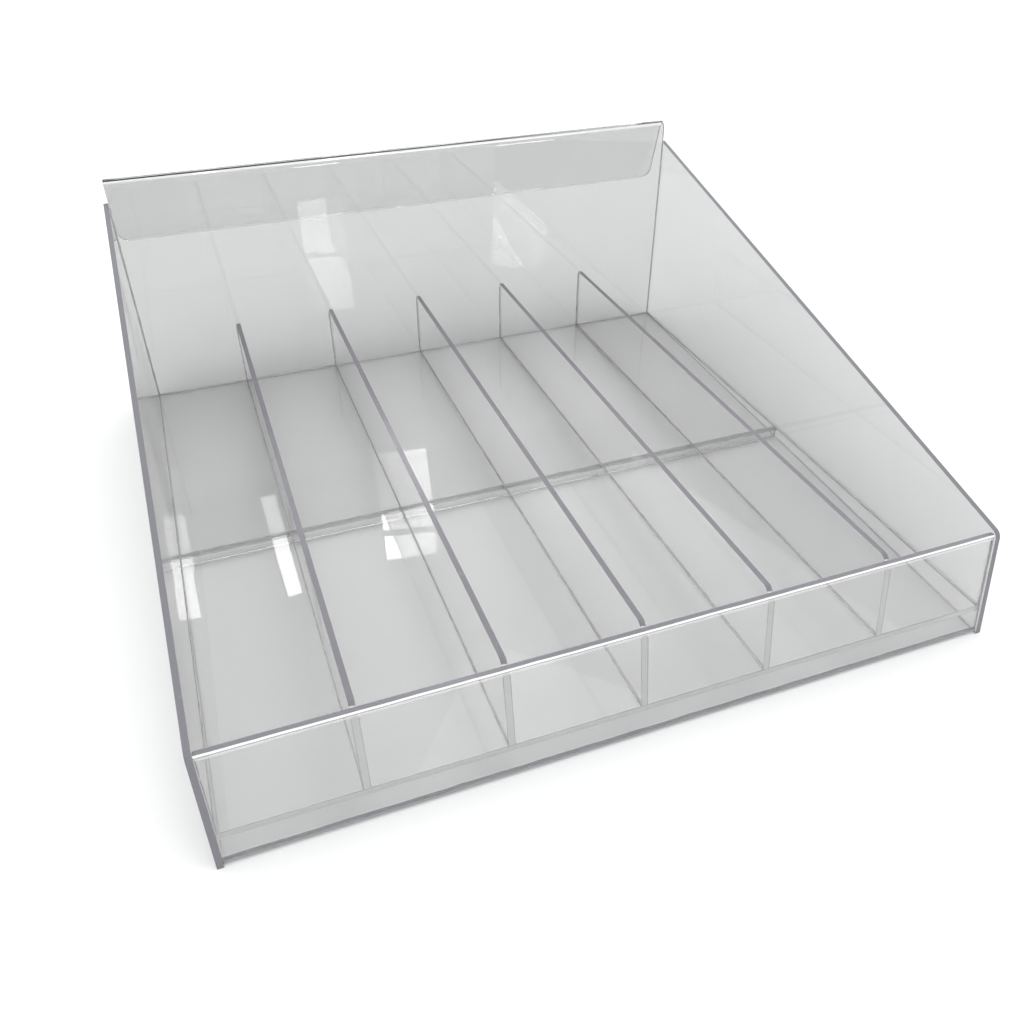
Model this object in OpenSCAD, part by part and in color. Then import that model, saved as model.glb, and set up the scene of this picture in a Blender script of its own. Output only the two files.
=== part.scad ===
// Clear sheet tray with six lengthwise compartments and a hanging lip along the top of its back.
// Flat sheets bonded edge to face. Millimetres. X across the width, -Y to the front, Z up.
// The origin is the centre of the footprint, on the surface the tray stands on.

/* [Sheet] */
// thickness of every sheet
sheet = 3; // [2:0.25:4]

/* [Overall] */
// outside width over both side panels
rack_w = 400; // [320:1:600]
// depth along the base, front edge to the rear face of the back panel
rack_d = 392; // [330:1:460]
// height of the side panels at their rear edge
side_back_h = 141; // [110:1:150]
// height of the side panels at their front edge
side_front_h = 60; // [50:1:80]
// radius of the upper front corner of each side panel
side_corner_r = 5; // [2:0.5:10]

/* [Front panel] */
// lean of the front panel, its top towards the rear
front_lean = 12; // [0:0.5:16]
// step of the front face back from the side panels' front edges
front_step = 0.6; // [0.2:0.1:1.5]
// gap between the front panel's lower edge and the base
front_lift = 1.5; // [0.5:0.25:2.5]

/* [Floor] */
// slope of the floor, which rises towards the front
floor_tilt = 1.9; // [1:0.1:3]

/* [Dividers] */
// height of the dividers above the floor
divider_h = 45.5; // [30:0.5:50]
// centre to centre distance of the dividers
divider_pitch = 66.5; // [58:0.5:75]
// radius of the upper front corner of each divider
divider_corner_r = 5; // [2:0.5:10]

/* [Back panel and lip] */
// length of the back panel's straight part, along its face
back_len = 150; // [145:1:180]
// inside radius of the fold along the top
fold_r = 2.2; // [2:0.1:4]
// angle between the lip and the back panel
lip_angle = 16; // [8:1:22]
// length of the lip below the fold
lip_len = 42; // [25:1:60]
// radius of the two lower corners of the lip
lip_corner_r = 7; // [3:0.5:12]

/* [Cross rib] */
// distance of the rib behind the front edge
rib_from_front = 195; // [120:1:270]

/* [Hidden] */
$fn = 96;
inner_w = rack_w - 2 * sheet;
clear_sheet = [0.86, 0.88, 0.9, 0.45];

// Points in the side profile are [distance behind the front edge, height].
// back_frame turns distances along the floor and square to it into profile points.
along_floor = [-cos(floor_tilt), sin(floor_tilt)];
up_back = [sin(floor_tilt), cos(floor_tilt)];
function back_frame(u, v) = [rack_d, 0] + u * along_floor + v * up_back;

up_front = [sin(front_lean), cos(front_lean)];
into_front = [cos(front_lean), -sin(front_lean)];
front_outer = front_step * into_front + (front_lift / cos(front_lean)) * up_front;
front_inner = front_outer + sheet * into_front;

function cross2(a, b) = a[0] * b[1] - a[1] * b[0];
function meet(p, d, q, e) = p + d * (cross2(q - p, e) / cross2(d, e));
function unit(v) = v / norm(v);

// Side panel outline.
side_rear_top = meet([rack_d, 0], up_back, [0, side_back_h], [1, 0]);
side_front_top = up_front * (side_front_h / cos(front_lean));

// Floor and dividers, cut to the slope of the front panel.
floor_top_front = meet(back_frame(0, sheet), along_floor, front_inner, up_front);
floor_low_front = meet(back_frame(0, 0), along_floor, front_inner, up_front);
divider_top_front = meet(back_frame(0, sheet + divider_h), along_floor, front_inner, up_front);

// Front panel length, so that its upper front edge is level with the side panels' corners.
front_len = (side_front_top - front_outer) * up_front - 0.4;

// Fold and lip, centred on the fold's axis.
fold_centre = back_frame(-fold_r, back_len);
fold_outer = fold_r + sheet;
fold_steps = 28;
function fold_dir(i) =
    let (a = 180 - (180 - lip_angle) * i / fold_steps)
    [cos(a), sin(a)];
lip_turn = lip_angle - floor_tilt;
lip_tip_y = fold_centre[0] + fold_outer * cos(lip_turn) + lip_len * sin(lip_turn);
y_mid = lip_tip_y / 2;

// Sweeps a side profile across the width, from x for a width w.
module across(x, w) {
    translate([x, -y_mid, 0])
        rotate([90, 0, 90])
            linear_extrude(height = w)
                children();
}

// Waste outside a rounded corner at c between edges leaving it along d and e. Its arc meets
// both edges at a slight angle.
module corner_waste(c, d, e, r) {
    half = acos(d * e) / 2;
    centre = c + unit(d + e) * (r / sin(half) - r / 80);
    p = c + d * (r / tan(half)) - centre;
    q = c + e * (r / tan(half)) - centre;
    translate(centre)
        difference() {
            polygon([[0, 0], 2 * p, 2 * p + 2 * q, 2 * q]);
            circle(r = r);
        }
}

module side_panel(x) {
    across(x, sheet)
        difference() {
            polygon([[0, 0], [rack_d, 0], side_rear_top, side_front_top]);
            corner_waste(side_front_top, unit(side_rear_top - side_front_top), -up_front,
                         side_corner_r);
        }
}

module left_side_panel() {
    color(clear_sheet)
        side_panel(-rack_w / 2);
}

module right_side_panel() {
    color(clear_sheet)
        side_panel(rack_w / 2 - sheet);
}

module front_panel() {
    color(clear_sheet)
        across(-inner_w / 2, inner_w)
            polygon([front_outer, front_inner, front_inner + front_len * up_front,
                     front_outer + front_len * up_front]);
}

module floor_panel() {
    color(clear_sheet)
        across(-inner_w / 2, inner_w)
            polygon([floor_low_front, back_frame(sheet, 0), back_frame(sheet, sheet),
                     floor_top_front]);
}

// Back sheet in profile, with the fold's axis at the origin: straight part, fold and lip.
module back_profile() {
    lip_down = [sin(lip_angle), -cos(lip_angle)];
    outer = [for (i = [0:fold_steps]) fold_outer * fold_dir(i)];
    inner = [for (i = [fold_steps:-1:0]) fold_r * fold_dir(i)];
    polygon(concat([[-fold_outer, -back_len]], outer,
                   [outer[fold_steps] + lip_len * lip_down, inner[0] + lip_len * lip_down],
                   inner, [[-fold_r, -back_len]]));
}

// The two lower corners of the lip are rounded in the lip's own plane.
module back_panel() {
    color(clear_sheet)
        difference() {
            across(-inner_w / 2, inner_w)
                translate(fold_centre)
                    rotate(-floor_tilt)
                        back_profile();
            translate([0, fold_centre[0] - y_mid, fold_centre[1]])
                rotate([90 + lip_turn, 0, 0])
                    translate([0, 0, -fold_outer - 1])
                        linear_extrude(height = sheet + 2)
                            for (side = [-1, 1])
                                corner_waste([side * inner_w / 2, -lip_len], [0, 1],
                                             [-side, 0], lip_corner_r);
        }
}

module divider(n) {
    across((n - 3) * divider_pitch - sheet / 2, sheet)
        difference() {
            polygon([floor_top_front, back_frame(sheet, sheet),
                     back_frame(sheet, sheet + divider_h), divider_top_front]);
            corner_waste(divider_top_front, -along_floor, -up_front, divider_corner_r);
        }
}

module divider_1() {
    color(clear_sheet)
        divider(1);
}

module divider_2() {
    color(clear_sheet)
        divider(2);
}

module divider_3() {
    color(clear_sheet)
        divider(3);
}

module divider_4() {
    color(clear_sheet)
        divider(4);
}

module divider_5() {
    color(clear_sheet)
        divider(5);
}

// Strip on edge under the floor, its upper edge cut to the floor's slope.
module cross_rib() {
    rib_front = meet([rib_from_front, 0], [0, 1], back_frame(0, 0), along_floor);
    rib_rear = meet([rib_from_front + sheet, 0], [0, 1], back_frame(0, 0), along_floor);
    color(clear_sheet)
        across(-inner_w / 2, inner_w)
            polygon([[rib_from_front, 0], [rib_from_front + sheet, 0], rib_rear, rib_front]);
}

left_side_panel();
right_side_panel();
front_panel();
floor_panel();
back_panel();
divider_1();
divider_2();
divider_3();
divider_4();
divider_5();
cross_rib();
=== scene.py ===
import math
import random

import bmesh
import bpy
from mathutils import Matrix, Vector


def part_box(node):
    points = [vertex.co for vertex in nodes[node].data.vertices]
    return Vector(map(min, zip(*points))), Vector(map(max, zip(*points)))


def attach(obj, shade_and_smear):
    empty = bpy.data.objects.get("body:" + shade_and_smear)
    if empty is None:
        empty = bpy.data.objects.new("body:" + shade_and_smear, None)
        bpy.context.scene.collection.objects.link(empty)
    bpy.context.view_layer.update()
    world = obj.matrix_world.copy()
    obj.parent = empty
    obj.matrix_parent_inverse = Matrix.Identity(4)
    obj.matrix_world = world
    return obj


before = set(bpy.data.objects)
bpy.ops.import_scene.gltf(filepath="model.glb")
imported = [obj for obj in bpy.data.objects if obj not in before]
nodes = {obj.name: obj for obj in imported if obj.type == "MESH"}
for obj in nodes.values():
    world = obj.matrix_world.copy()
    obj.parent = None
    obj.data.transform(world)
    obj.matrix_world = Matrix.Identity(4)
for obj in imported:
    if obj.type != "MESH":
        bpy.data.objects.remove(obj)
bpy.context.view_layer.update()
scene = bpy.context.scene

MM = 0.001
SHEET = 3 * MM
DIVIDERS = [f"divider_{n}" for n in range(1, 6)]

floor_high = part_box("floor_panel")[1]
divider_low, divider_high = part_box("divider_1")
front_low, front_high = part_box("front_panel")
back_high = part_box("back_panel")[1]
rib_low, rib_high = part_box("cross_rib")

# The floor's upper face in side view, from its front end to its rear end.
floor_front = Vector((0, divider_low.y, floor_high.z))
floor_rear = Vector((0, floor_high.y, divider_low.z))
along_floor = (floor_rear - floor_front).normalized()
floor_up = Vector((0, -along_floor.z, along_floor.y))

# The front panel's slope, and the fold's side of the back panel.
lean = math.atan2(front_high.y - front_low.y - SHEET, front_high.z - front_low.z)
up_front = Vector((0, math.sin(lean), math.cos(lean)))
into_front = Vector((0, math.cos(lean), -math.sin(lean)))
LIP_TURN = math.radians(14.1)
lip_down = Vector((0, math.sin(LIP_TURN), -math.cos(LIP_TURN)))
lip_start = floor_rear.dot(along_floor) + SHEET + 0.5 * MM


# ---------------------------------------------------------------- camera
CAMERA_PLACE = (-0.1580, -0.4384, 0.3587)
CAMERA_YAW = -20.79
CAMERA_PITCH = -39.15
CAMERA_ROLL = 0.74
CAMERA_LENS = 32.18


def add_camera():
    data = bpy.data.cameras.new("camera")
    data.lens = CAMERA_LENS
    data.clip_start = 0.01
    camera = bpy.data.objects.new("camera", data)
    turn = (
        Matrix.Rotation(math.radians(CAMERA_YAW), 4, "Z")
        @ Matrix.Rotation(math.radians(90 + CAMERA_PITCH), 4, "X")
        @ Matrix.Rotation(math.radians(CAMERA_ROLL), 4, "Z")
    )
    camera.matrix_world = Matrix.Translation(CAMERA_PLACE) @ turn
    scene.collection.objects.link(camera)
    scene.camera = camera


# ---------------------------------------------------------------- stage and light
STAGE_RADIUS = 9
STAGE_DROP = 0.2 * MM
STAGE_GREY = 0.88
STAGE_ROUGHNESS = 0.9
STAGE_SHEEN = 0.1


def add_floor():
    mesh = bpy.data.meshes.new("studio_floor")
    bm = bmesh.new()
    bmesh.ops.create_circle(bm, cap_ends=True, segments=96, radius=STAGE_RADIUS)
    bm.to_mesh(mesh)
    bm.free()
    floor = bpy.data.objects.new("studio_floor", mesh)
    floor.location.z = -STAGE_DROP
    scene.collection.objects.link(floor)
    material = bpy.data.materials.new("studio_floor")
    material.use_nodes = True
    shader = material.node_tree.nodes["Principled BSDF"]
    shader.inputs["Base Color"].default_value = (STAGE_GREY, STAGE_GREY, STAGE_GREY, 1)
    shader.inputs["Roughness"].default_value = STAGE_ROUGHNESS
    shader.inputs["Specular IOR Level"].default_value = STAGE_SHEEN
    mesh.materials.append(material)


def add_area(name, place, target, size, radiance):
    """A rectangular softbox at place that faces target."""
    data = bpy.data.lights.new(name, "AREA")
    data.shape = "RECTANGLE"
    data.size, data.size_y = size
    data.energy = radiance * math.pi * size[0] * size[1]
    light = bpy.data.objects.new(name, data)
    aim = (Vector(target) - Vector(place)).to_track_quat("-Z", "Y")
    light.matrix_world = Matrix.Translation(place) @ aim.to_matrix().to_4x4()
    light.visible_camera = False
    scene.collection.objects.link(light)
    return light


# Windows round the room: middle, size across and along, radiance, and how their panes share the length.
WINDOWS = (
    ("rear_window", (-0.09, 1.2, 0.9), (0.042, 0.24), 4.5, (1,)),
    ("rear_window_wide", (0.2, 1.255, 0.9), (0.12, 0.26), 5.5, (0.75, 0.25)),
    ("front_window", (0.81, -1.71, 0.7), (0.16, 0.3), 9, (1,)),
    ("side_window", (0.21, -1.64, 0.7), (0.12, 0.32), 8, (0.5, 0.5)),
)
WINDOW_TARGET = (0, 0.1, 0.02)
WINDOW_BAR = 0.015


def add_window(name, place, size, radiance, panes):
    """A window seen only as a reflection: a column of panes with dark bars between them."""
    target = WINDOW_TARGET
    bar = WINDOW_BAR
    facing = (Vector(target) - Vector(place)).to_track_quat("-Z", "Y").to_matrix()
    total = sum(panes)
    run = -size[1] / 2
    for n, share in enumerate(panes):
        height = size[1] * share / total
        centre = Vector(place) + facing @ Vector((0, run + height / 2, 0))
        pane = add_area(f"{name}_{n}", centre, centre + facing @ Vector((0, 0, -1)),
                        (size[0], height - bar), radiance)
        pane.matrix_world = Matrix.Translation(centre) @ facing.to_4x4()
        pane.visible_diffuse = False
        run += height


SKY_COLOUR = (0.99, 1.0, 1.0, 1)
SKY_STRENGTH = 1.36
OVERHEAD_PLACE = (0.5, 0.5, 2.0)
OVERHEAD_SIZE = (1.6, 1.6)
OVERHEAD_RADIANCE = 1.0
# Clear sheets stand behind one another, so light needs many passes to get through them.
CLEAR_BOUNCES = 20
GLOSSY_BOUNCES = 10
DIFFUSE_BOUNCES = 3


def add_light():
    world = bpy.data.worlds.new("studio")
    scene.world = world
    world.use_nodes = True
    back = world.node_tree.nodes["Background"]
    back.inputs["Color"].default_value = SKY_COLOUR
    back.inputs["Strength"].default_value = SKY_STRENGTH
    overhead = add_area("overhead", OVERHEAD_PLACE, (0, 0, 0), OVERHEAD_SIZE, OVERHEAD_RADIANCE)
    overhead.visible_glossy = False
    for name, place, size, radiance, panes in WINDOWS:
        add_window(name, place, size, radiance, panes)
    scene.view_settings.view_transform = "Standard"
    scene.cycles.max_bounces = CLEAR_BOUNCES
    scene.cycles.transmission_bounces = CLEAR_BOUNCES
    scene.cycles.glossy_bounces = GLOSSY_BOUNCES
    scene.cycles.diffuse_bounces = DIFFUSE_BOUNCES


# ---------------------------------------------------------------- materials
class Graph:
    """A material's node tree, built by small calls that return sockets."""

    def __init__(self, name):
        self.material = bpy.data.materials.new(name)
        self.material.use_nodes = True
        self.tree = self.material.node_tree
        self.shader = self.tree.nodes["Principled BSDF"]
        self.coords = self.tree.nodes.new("ShaderNodeTexCoord")
        self.place = self.coords.outputs["Object"]
        self.normal = self.coords.outputs["Normal"]

    def put(self, socket, value):
        if isinstance(value, bpy.types.NodeSocket):
            self.tree.links.new(value, socket)
        else:
            socket.default_value = value

    def math(self, operation, a, b=0.0, clamp=False):
        node = self.tree.nodes.new("ShaderNodeMath")
        node.operation = operation
        node.use_clamp = clamp
        self.put(node.inputs[0], a)
        self.put(node.inputs[1], b)
        return node.outputs[0]

    def spread(self, value, low, high, to_low=0.0, to_high=1.0):
        node = self.tree.nodes.new("ShaderNodeMapRange")
        node.interpolation_type = "SMOOTHSTEP"
        for name, item in (("Value", value), ("From Min", low), ("From Max", high),
                           ("To Min", to_low), ("To Max", to_high)):
            self.put(node.inputs[name], item)
        return node.outputs["Result"]

    def dot(self, vector, direction):
        node = self.tree.nodes.new("ShaderNodeVectorMath")
        node.operation = "DOT_PRODUCT"
        self.put(node.inputs[0], vector)
        node.inputs[1].default_value = direction
        return node.outputs["Value"]

    def stretch(self, vector, scale):
        node = self.tree.nodes.new("ShaderNodeMapping")
        self.put(node.inputs["Vector"], vector)
        node.inputs["Scale"].default_value = scale
        return node.outputs["Vector"]

    def noise(self, vector, scale, detail=3.0, rough=0.5):
        node = self.tree.nodes.new("ShaderNodeTexNoise")
        self.put(node.inputs["Vector"], vector)
        node.inputs["Scale"].default_value = scale
        node.inputs["Detail"].default_value = detail
        node.inputs["Roughness"].default_value = rough
        return node.outputs["Fac"]

    def cells(self, vector, scale):
        node = self.tree.nodes.new("ShaderNodeTexVoronoi")
        self.put(node.inputs["Vector"], vector)
        node.inputs["Scale"].default_value = scale
        return node.outputs["Distance"], node.outputs["Color"]

    def mix(self, factor, a, b):
        node = self.tree.nodes.new("ShaderNodeMix")
        node.data_type = "RGBA"
        self.put(node.inputs[0], factor)
        self.put(node.inputs[6], a)
        self.put(node.inputs[7], b)
        return node.outputs[2]

    def blend(self, factor, a, b):
        node = self.tree.nodes.new("ShaderNodeMix")
        self.put(node.inputs[0], factor)
        self.put(node.inputs[2], a)
        self.put(node.inputs[3], b)
        return node.outputs[0]

    def bump(self, height, distance, strength=1.0, normal=None):
        node = self.tree.nodes.new("ShaderNodeBump")
        self.put(node.inputs["Height"], height)
        node.inputs["Distance"].default_value = distance
        node.inputs["Strength"].default_value = strength
        if normal is not None:
            self.put(node.inputs["Normal"], normal)
        return node.outputs["Normal"]


def grey(value):
    return (value, value, value, 1)


# What each kind of edge looks like: its colour and how much light it lets through.
# Painted shade: free cut edges are dark grey for the dark look that light reflected inside the sheet
# gives them.
EDGE_SHADE = ((0.195, 0.19, 0.215, 1), 0.25)
GLUED = ((0.6, 0.62, 0.6, 1), 0.5)
CLEAR_GLUED = ((0.97, 0.98, 0.97, 1), 0.3)
# Painted highlight: arrises are given a near-white, less clear colour for the light they catch.
ARRIS_HIGHLIGHT = ((0.95, 0.95, 0.96, 1), 0.6)

# How much light each sheet passes, matched to the greys of the photo rather than to acrylic.
# These greys are painted shade: the same clear acrylic is darkened by a different amount in each sheet.
SIDE_SHADE_GREY = 0.61
BACK_SHADE_GREY = 0.54
LIP_SHADE_GREY = 0.88
FRONT_SHADE_GREY = 0.94
RIB_SHADE_GREY = 0.95
FULLY_CLEAR = 1.0

ACRYLIC_IOR = 1.49
CEMENT_IOR = 1.46
BUBBLE_IOR = 1.3
CEMENT_CLEAR = 0.55
# Bubbles pass little light so that their near-white skin shows as a painted glint.
BUBBLE_GLINT_CLEAR = 0.2

# Texture sizes, as features per metre, and how strongly saw marks and nicks show on an edge.
SMEAR_SCALE = 9
SCUFF_SCALE = 55
DUST_SCALE = 38
SAW_SCALE = 1500
NICK_SCALE = 210
WAVE_SCALE = 14
SAW_SHOWS = 0.08
NICK_SHOWS = 0.06
SAW_DEPTH = 0.000006
WAVE_DEPTH = 0.00006

# Painted shade: a dark band along the front panel's foot, standing in for its contact shadow and its
# bottom edge seen through the sheet.
FOOT_SHADE_HEIGHT = 1.7 * MM
FOOT_SHADE_GREY = (0.36, 0.36, 0.38, 1)
FOOT_SHADE_CLEAR = 0.35
# Painted shade and highlight lines along the front panel's top, for the light its polished top edge
# reflects inside the sheet, as (from, to) below its edge, grey value, light let through.
TOP_PAINTED_LIGHT_LINES = ((-1 * MM, 0.9 * MM, 0.19, 0.25), (0.9 * MM, 2.1 * MM, 0.97, 0.2),
             (2.1 * MM, 2.7 * MM, 0.5, 0.5), (3.1 * MM, 3.6 * MM, 0.9, 0.5))

UP, DOWN = (0, 0, 1), (0, 0, -1)
FRONT, REAR = (0, -1, 0), (0, 1, 0)
LEFT, RIGHT = (-1, 0, 0), (1, 0, 0)


def sideways(g, face):
    """How far the surface's normal lies in the sheet's own plane: 0 on its faces, 1 on its edges."""
    lift = g.dot(g.normal, face)
    return g.math("SQRT", g.math("SUBTRACT", 1.0, g.math("MULTIPLY", lift, lift), clamp=True))


def sideways_folded(g, end, lip_down, crown):
    """The same for the folded back sheet: its two ends, and the lip's lower edge under crown."""
    across = g.dot(g.normal, end)
    down = g.math("MULTIPLY", g.dot(g.normal, lip_down), g.math("LESS_THAN", g.dot(g.place, UP), crown))
    down = g.math("MAXIMUM", down, 0.0)
    total = g.math("ADD", g.math("MULTIPLY", across, across), g.math("MULTIPLY", down, down))
    return g.math("SQRT", total)


def add_front_painted_light(g, colour, clear):
    """The front panel's outer face: a band of painted shade along its foot, with fine painted lines of
    shade and highlight under its top edge."""
    outside = g.math("GREATER_THAN", g.dot(g.normal, FRONT), 0.2)
    foot = front_low.z + FOOT_SHADE_HEIGHT
    ragged = g.math("ADD", g.dot(g.place, UP), g.math("MULTIPLY", g.noise(g.place, 60, 4), -1.2 * MM))
    # paint shade in a ragged band along the foot of the outer face
    foot_shade = g.math("MULTIPLY", g.spread(ragged, foot - 0.5 * MM, foot, 1.0, 0.0), outside)
    colour = g.mix(foot_shade, colour, FOOT_SHADE_GREY)
    clear = g.blend(foot_shade, clear, FOOT_SHADE_CLEAR)
    down = g.math("SUBTRACT", front_high.z * up_front.z + front_high.y * up_front.y,
                  g.dot(g.place, up_front))
    sway = g.math("MULTIPLY", g.noise(g.stretch(g.place, (1, 0, 0)), 45, 3), 0.5 * MM)
    down = g.math("ADD", down, sway)
    # paint the lines of shade and highlight under the top edge
    for start, end, shade, passed in TOP_PAINTED_LIGHT_LINES:
        line = g.math("MULTIPLY", g.spread(down, start, start + 0.2 * MM),
                      g.spread(down, end, end + 0.2 * MM, 1.0, 0.0))
        line = g.math("MULTIPLY", line, outside)
        colour = g.mix(line, colour, grey(shade))
        clear = g.blend(line, clear, passed)
    return colour, clear


def acrylic(name, shade_grey, edge_test, kind, others=(), painted_light=None):
    """Clear sheet: polished faces with a grey body that is painted shade, painted highlights on the
    arrises, and edges of one kind, or of another kind where they face a direction in others.
    painted_light adds the painted shade and highlights that only one sheet has."""
    g = Graph(name)
    shade_grey = shade_grey(g) if callable(shade_grey) else shade_grey
    # faint smears on the faces, and dust specks in about one cell in five
    smear = g.spread(g.noise(g.stretch(g.place, (1, 0.35, 1)), SMEAR_SCALE, 4, 0.55), 0.35, 0.75)
    # the sheet's painted shade grey, faintly varied by the smears
    shade_and_smear = g.math("MULTIPLY", shade_grey, g.spread(smear, 0.0, 1.0, 1.0, 0.97))
    distance, shade = g.cells(g.place, DUST_SCALE)
    speck = g.math("MULTIPLY", g.math("LESS_THAN", distance, 0.011),
                   g.math("GREATER_THAN", g.dot(shade, (1, 0, 0)), 0.8))
    colour = g.mix(speck, shade_and_smear, grey(0.12))
    scuff = g.spread(g.noise(g.place, SCUFF_SCALE, 6, 0.7), 0.55, 0.8, 0.012, 0.045)
    clear = 1.0
    saw = g.noise(g.stretch(g.place, (1, 1, 0.3)), SAW_SCALE, 2)
    nick = g.spread(g.noise(g.place, NICK_SCALE, 3, 0.6), 0.63, 0.72)
    turned = edge_test(g)
    arris = g.spread(turned, 0.3, 0.4)
    edge = g.spread(turned, 0.93, 0.97)
    shade, passed = kind
    for direction, (other_shade, other_passed) in others:
        faced = g.spread(g.dot(g.normal, direction), 0.75, 0.85)
        shade = g.mix(faced, shade, other_shade)
        passed = g.blend(faced, passed, other_passed)
    # saw marks and nicks over the edge colour, which is painted shade on free edges
    edge_shade_and_wear = g.mix(g.math("MULTIPLY", saw, SAW_SHOWS), shade, grey(0.4))
    edge_shade_and_wear = g.mix(g.math("MULTIPLY", nick, NICK_SHOWS), edge_shade_and_wear, grey(0.75))
    # painted highlight on the arrises, and on the edges their own colour with saw marks and nicks
    colour = g.mix(edge, g.mix(arris, colour, ARRIS_HIGHLIGHT[0]), edge_shade_and_wear)
    clear = g.blend(edge, g.blend(arris, clear, ARRIS_HIGHLIGHT[1]), passed)
    if painted_light:
        colour, clear = painted_light(g, colour, clear)
    g.put(g.shader.inputs["Base Color"], colour)
    g.put(g.shader.inputs["Transmission Weight"], clear)
    g.put(g.shader.inputs["Roughness"], g.blend(edge, scuff, g.spread(saw, 0.3, 0.7, 0.21, 0.27)))
    wave = g.bump(g.noise(g.place, WAVE_SCALE, 1), WAVE_DEPTH)
    g.put(g.shader.inputs["Normal"], g.bump(g.math("MULTIPLY", edge, saw), SAW_DEPTH, 1.0, wave))
    g.shader.inputs["IOR"].default_value = ACRYLIC_IOR
    return g.material


CLEARANCE = 0.03 * MM
JOIN_DISTANCE = 0.01 * MM
SHEET_ARRIS = 0.3 * MM
FRONT_ARRIS = 0.45 * MM
SHARP = math.radians(40)


def finish_sheet(name, material, arris=SHEET_ARRIS):
    """Gives a CAD sheet its material, a hair of clearance at its joints and softened arrises."""
    sheet = nodes[name]
    sheet.data.materials.clear()
    sheet.data.materials.append(material)
    weld = sheet.modifiers.new("weld", "WELD")
    weld.merge_threshold = JOIN_DISTANCE
    shrink = sheet.modifiers.new("clearance", "DISPLACE")
    shrink.strength = -CLEARANCE
    shrink.mid_level = 0
    bevel = sheet.modifiers.new("arris", "BEVEL")
    bevel.width = arris
    bevel.segments = 2
    bevel.limit_method = "ANGLE"
    bevel.angle_limit = SHARP
    bevel.harden_normals = True


def on_side(g):
    return sideways(g, RIGHT)


def on_front(g):
    return sideways(g, into_front)


def on_floor(g):
    return sideways(g, floor_up)


def on_rib(g):
    return sideways(g, REAR)


def on_back(g):
    return sideways_folded(g, RIGHT, lip_down, back_high.z - 25 * MM)


def back_shade_grey(g):
    """Painted shade: darker in the straight part, lighter in the lip that lies behind it."""
    return g.spread(g.dot(g.place, along_floor), lip_start, lip_start + SHEET, BACK_SHADE_GREY, LIP_SHADE_GREY)


def finish_sheets():
    glued_ends = [(LEFT, GLUED), (RIGHT, GLUED)]
    divider_ends = [(FRONT, CLEAR_GLUED), (REAR, GLUED), (DOWN, CLEAR_GLUED)]
    for side in ("left_side_panel", "right_side_panel"):
        finish_sheet(side, acrylic("acrylic_" + side, SIDE_SHADE_GREY, on_side, EDGE_SHADE))
    front = acrylic("acrylic_front", FRONT_SHADE_GREY, on_front, EDGE_SHADE, glued_ends, add_front_painted_light)
    finish_sheet("front_panel", front, FRONT_ARRIS)
    floor = acrylic("acrylic_floor", FULLY_CLEAR, on_floor, GLUED, [(FRONT, CLEAR_GLUED)])
    finish_sheet("floor_panel", floor)
    finish_sheet("back_panel", acrylic("acrylic_back", back_shade_grey, on_back, CLEAR_GLUED, glued_ends))
    for name in DIVIDERS:
        finish_sheet(name, acrylic("acrylic_" + name, FULLY_CLEAR, on_side, EDGE_SHADE, divider_ends))
    finish_sheet("cross_rib", acrylic("acrylic_rib", RIB_SHADE_GREY, on_rib, GLUED))


# ---------------------------------------------------------------- welds
def cement():
    """Hardened solvent cement: clear, a little grey, with a rippled skin."""
    g = Graph("cement")
    ripple = g.noise(g.place, 420, 3, 0.6)
    g.put(g.shader.inputs["Base Color"], g.mix(g.spread(ripple, 0.3, 0.7), grey(0.72), grey(0.95)))
    g.put(g.shader.inputs["Roughness"], g.spread(ripple, 0.3, 0.7, 0.04, 0.2))
    g.put(g.shader.inputs["Normal"], g.bump(ripple, 0.0002))
    g.shader.inputs["Transmission Weight"].default_value = CEMENT_CLEAR
    g.shader.inputs["IOR"].default_value = CEMENT_IOR
    return g.material


def bubble_glint():
    """Painted glint: the near-white, mostly opaque skin of an air bubble caught in a weld."""
    g = Graph("bubble")
    mottle = g.noise(g.place, 900, 2)
    g.put(g.shader.inputs["Base Color"], g.mix(mottle, grey(0.98), grey(0.85)))
    g.put(g.shader.inputs["Roughness"], g.spread(mottle, 0.3, 0.7, 0.05, 0.25))
    g.shader.inputs["Transmission Weight"].default_value = BUBBLE_GLINT_CLEAR
    g.shader.inputs["IOR"].default_value = BUBBLE_IOR
    return g.material


def add_bead(bm, start, end, side_a, side_b, size, rng):
    """A thin hollow fillet of cement in the corner between side_a and side_b, of uneven width."""
    length = (end - start).length
    steps = max(8, int(length / (2.5 * MM)))
    waves = [(rng.uniform(0.5, 1), rng.uniform(20, 260), rng.uniform(0, 6.28)) for _ in range(5)]
    corner = (side_a + side_b) * 0.06 * MM
    rows = []
    for i in range(steps + 1):
        t = i / steps
        place = start.lerp(end, t) + corner
        swell = sum(w * math.sin(k * t * length * 4 + p) for w, k, p in waves) / 5
        width = size * max(0.35, 1 + 0.7 * swell)
        across = [place, place + side_a * width, place + (side_a + side_b) * width * 0.28,
                  place + side_b * width]
        rows.append([bm.verts.new(p) for p in across])
    for low, high in zip(rows, rows[1:]):
        for k in range(4):
            bm.faces.new((low[k], low[(k + 1) % 4], high[(k + 1) % 4], high[k]))
    bm.faces.new(rows[0][::-1])
    bm.faces.new(rows[-1])


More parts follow.
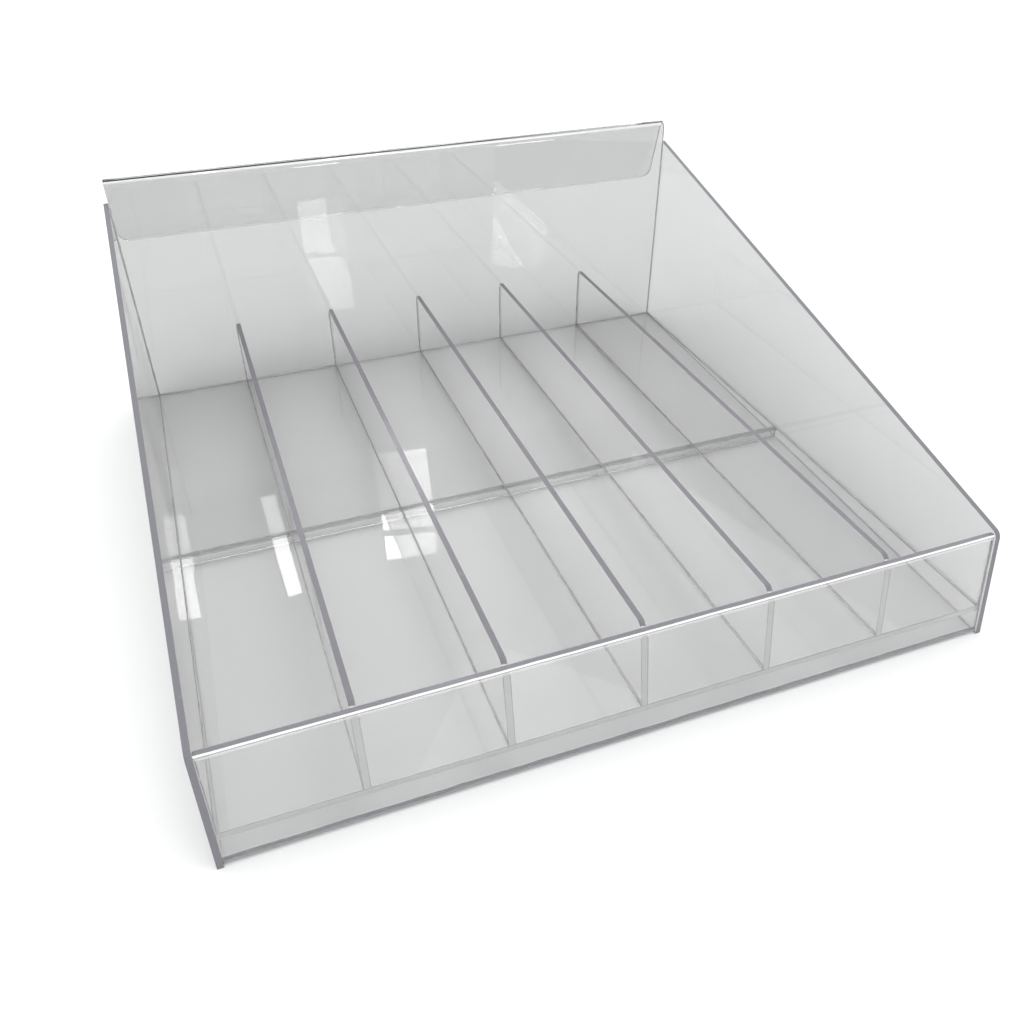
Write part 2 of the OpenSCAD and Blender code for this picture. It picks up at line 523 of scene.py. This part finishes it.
def add_bubbles(bm, start, end, side_a, side_b, count, rng, crowd=1.0):
    """Flattened bubbles along a weld; crowd above 1 gathers them towards start."""
    out = (side_a + side_b).normalized()
    for _ in range(count):
        t = rng.random() ** crowd
        radius = rng.uniform(0.12, 0.34) * MM
        centre = start.lerp(end, t) + side_a * rng.uniform(0.2, 0.9) * MM
        centre = centre + side_b * (radius * 0.5 + 0.1 * MM)
        turn = out.to_track_quat("Z", "Y").to_matrix().to_4x4()
        shape = Matrix.Diagonal((radius * rng.uniform(0.8, 2.2), radius, radius * 0.6, 1))
        made = bmesh.ops.create_icosphere(bm, subdivisions=2, radius=1,
                                          matrix=Matrix.Translation(centre) @ turn @ shape)
        for face in {f for v in made["verts"] for f in v.link_faces}:
            face.material_index = 1


def make_weld(name, beads, seed, size=0.55 * MM, bubbles=6, crowd=1.0):
    """One piece for a joint's cement. beads is a list of (start, end, side_a, side_b)."""
    rng = random.Random(seed)
    bm = bmesh.new()
    for start, end, side_a, side_b in beads:
        add_bead(bm, start, end, side_a, side_b, size, rng)
        add_bubbles(bm, start, end, side_a, side_b, bubbles, rng, crowd)
    bmesh.ops.recalc_face_normals(bm, faces=bm.faces)
    mesh = bpy.data.meshes.new(name)
    bm.to_mesh(mesh)
    bm.free()
    mesh.materials.append(CEMENT)
    mesh.materials.append(BUBBLE_GLINT)
    mesh.polygons.foreach_set("use_smooth", [True] * len(mesh.polygons))
    weld = bpy.data.objects.new(name, mesh)
    scene.collection.objects.link(weld)
    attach(weld, "root")


def at(x, point):
    return Vector((x, point.y, point.z))


def add_welds():
    left, right = Vector(LEFT), Vector(RIGHT)
    inner = floor_high.x
    up_back = floor_up
    into_back = -along_floor
    front_top = floor_front + up_front * (front_high.z - floor_front.z - 3 * MM)
    divider_top = floor_front + up_front * (divider_high.z - floor_front.z - 6 * MM)
    back_top = floor_rear + up_back * (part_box("left_side_panel")[1].z - floor_rear.z - 2 * MM)
    divider_rear = floor_rear + up_back * 44 * MM
    for n, name in enumerate(DIVIDERS):
        low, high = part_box(name)
        beads, fronts = [], []
        for x, side in ((low.x, left), (high.x, right)):
            beads.append((at(x, floor_front), at(x, floor_rear), side, floor_up))
            fronts.append((at(x, floor_front), at(x, divider_top), side, into_front))
            beads.append((at(x, floor_rear), at(x, divider_rear), side, into_back))
        make_weld("weld_" + name, beads, 11 + n, 0.28 * MM, 9, 2.2)
        make_weld("weld_front_" + name, fronts, 21 + n, 0.2 * MM, 3)
    for n, (name, x, side) in enumerate((("left", -inner, right), ("right", inner, left))):
        size = 0.35 * MM if name == "left" else 0.9 * MM
        foot = (at(x, floor_front), at(x, floor_rear), side, floor_up)
        make_weld("weld_floor_" + name, [foot], 31 + n, size)
        corner = (at(x, floor_front), at(x, front_top), side, into_front)
        make_weld("weld_front_" + name, [corner], 41 + n)
        corner = (at(x, floor_rear), at(x, back_top), side, into_back)
        make_weld("weld_back_" + name, [corner], 51 + n)
    across = (at(-inner, floor_front), at(inner, floor_front), along_floor, up_front)
    make_weld("weld_floor_front", [across], 61, 0.2 * MM)
    across = (at(-inner, floor_rear), at(inner, floor_rear), into_back, up_back)
    make_weld("weld_floor_back", [across], 62)
    rib_front = Vector((0, rib_low.y, rib_high.z))
    rib_rear = Vector((0, rib_high.y, rib_high.z - 0.1 * MM))
    down = Vector(DOWN)
    beads = [(at(-inner, rib_front), at(inner, rib_front), Vector(FRONT), down),
             (at(-inner, rib_rear), at(inner, rib_rear), Vector(REAR), down)]
    make_weld("weld_rib", beads, 63, 0.8 * MM, 40, 1.6)


CEMENT = cement()
BUBBLE_GLINT = bubble_glint()

add_camera()
add_floor()
add_light()
finish_sheets()
add_welds()
